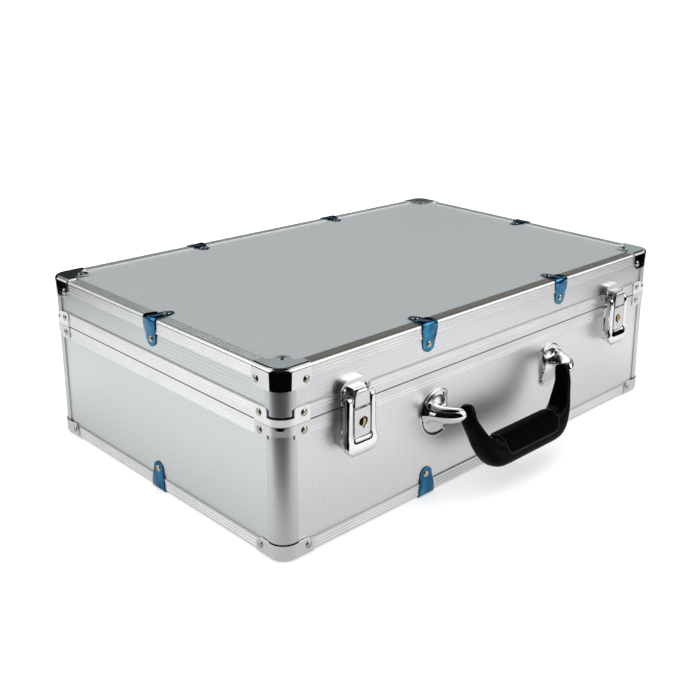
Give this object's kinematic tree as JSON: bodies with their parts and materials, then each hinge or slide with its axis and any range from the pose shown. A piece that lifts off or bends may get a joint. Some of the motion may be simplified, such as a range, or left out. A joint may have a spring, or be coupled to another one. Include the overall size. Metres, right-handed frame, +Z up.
{
  "type": "aluminium case",
  "caption": "Rectangular hard carrying case in aluminium profiles and panels, with pressed corner caps, key latches, a folding grip and a hinged lid.",
  "frame": {"origin": "middle of the footprint at the height of the underside, hanging grip and hinges included", "axes": "+X along the case's length, -Y out of the front with the latches and the grip, +Z up; the case lies flat and shut"},
  "size_m": [0.4638, 0.3598, 0.1472],
  "materials": {
    "profile": "satin, ribbed along its length",
    "embossed_panel": "fine embossed squares",
    "flat_panel": "matte, faint fine squares",
    "lining": "thin dark felt",
    "chromed_cap": "mirror",
    "brushed_cap": "brushed",
    "clip": "satin blue",
    "latch_steel": "bright",
    "latch_tile": "satin",
    "lock_brass": "satin",
    "pin": "drawn",
    "bracket": "bright",
    "grip": "semi-gloss black",
    "grip_pad": "matte, fine grain",
    "hinge": "bright zinc",
    "rivet": "domed, satin"
  },
  "bodies": {
    "base": {"base_edge_front": "profile", "base_rim_front": "profile", "base_panel_front": "embossed_panel", "base_edge_rear": "profile", "base_rim_rear": "profile", "base_panel_rear": "embossed_panel", "base_edge_left": "profile", "base_rim_left": "profile", "base_panel_left": "embossed_panel", "base_edge_right": "profile", "base_rim_right": "profile", "base_panel_right": "embossed_panel", "base_floor_panel": "flat_panel", "base_corner_posts": "profile", "base_lining": "lining", "base_rim_caps": "chromed_cap", "base_bottom_caps": "brushed_cap", "base_clips": "clip", "latch_base_plates": "latch_steel", "latch_pivot_pins": "pin", "latch_lock_bodies": "latch_tile", "grip_bracket_left": "bracket", "grip_bracket_right": "bracket", "grip_pins": "pin", "hinge_base_leaves": "hinge", "hinge_pins": "pin", "base_rivets": "rivet"},
    "lid": {"lid_rim_front": "profile", "lid_edge_front": "profile", "lid_panel_front": "embossed_panel", "lid_rim_rear": "profile", "lid_edge_rear": "profile", "lid_panel_rear": "embossed_panel", "lid_rim_left": "profile", "lid_edge_left": "profile", "lid_panel_left": "embossed_panel", "lid_rim_right": "profile", "lid_edge_right": "profile", "lid_panel_right": "embossed_panel", "lid_top_panel": "flat_panel", "lid_corner_posts": "profile", "lid_lining": "lining", "lid_top_caps": "chromed_cap", "lid_rim_caps": "chromed_cap", "lid_clips": "clip", "latch_catch_plates": "latch_steel", "hinge_lid_leaves": "hinge", "lid_rivets": "rivet"},
    "lever_left": {"latch_lever_left": "latch_steel", "latch_hook_pin_left": "pin"},
    "lever_right": {"latch_lever_right": "latch_steel", "latch_hook_pin_right": "pin"},
    "hook_left": {"latch_hook_left": "latch_tile"},
    "hook_right": {"latch_hook_right": "latch_tile"},
    "key_cylinder_left": {"latch_cylinder_left": "lock_brass"},
    "key_cylinder_right": {"latch_cylinder_right": "lock_brass"},
    "grip": {"grip": "grip", "grip_pad": "grip_pad"}
  },
  "joints": [
    {"name": "lid_hinge", "type": "hinge", "parent": "base", "child": "lid", "pos_m": [0, 0.17693, 0.10395], "axis": [-1, 0, 0], "range_deg": [0, 95]},
    {"name": "lever_left_swing", "type": "hinge", "parent": "base", "child": "lever_left", "pos_m": [-0.164, -0.14377, 0.1105], "axis": [-1, 0, 0], "range_deg": [0, 100]},
    {"name": "hook_left_swing", "type": "hinge", "parent": "lever_left", "child": "hook_left", "pos_m": [-0.164, -0.14577, 0.10545], "axis": [1, 0, 0], "range_deg": [0, 130]},
    {"name": "key_left_turn", "type": "hinge", "parent": "base", "child": "key_cylinder_left", "pos_m": [-0.164, -0.14327, 0.0932], "axis": [0, 1, 0], "range_deg": [0, 90]},
    {"name": "lever_right_swing", "type": "hinge", "parent": "base", "child": "lever_right", "pos_m": [0.164, -0.14377, 0.1105], "axis": [-1, 0, 0], "range_deg": [0, 100]},
    {"name": "hook_right_swing", "type": "hinge", "parent": "lever_right", "child": "hook_right", "pos_m": [0.164, -0.14577, 0.10545], "axis": [1, 0, 0], "range_deg": [0, 130]},
    {"name": "key_right_turn", "type": "hinge", "parent": "base", "child": "key_cylinder_right", "pos_m": [0.164, -0.14327, 0.0932], "axis": [0, 1, 0], "range_deg": [0, 90]},
    {"name": "grip_swing", "type": "hinge", "parent": "base", "child": "grip", "pos_m": [0, -0.15827, 0.072], "axis": [-1, 0, 0], "range_deg": [0, 100]}
  ],
  "couplings": [
    {"joint": "hook_left_swing", "follows": "lever_left_swing", "ratio": 1.3},
    {"joint": "hook_right_swing", "follows": "lever_right_swing", "ratio": 1.3}
  ]
}
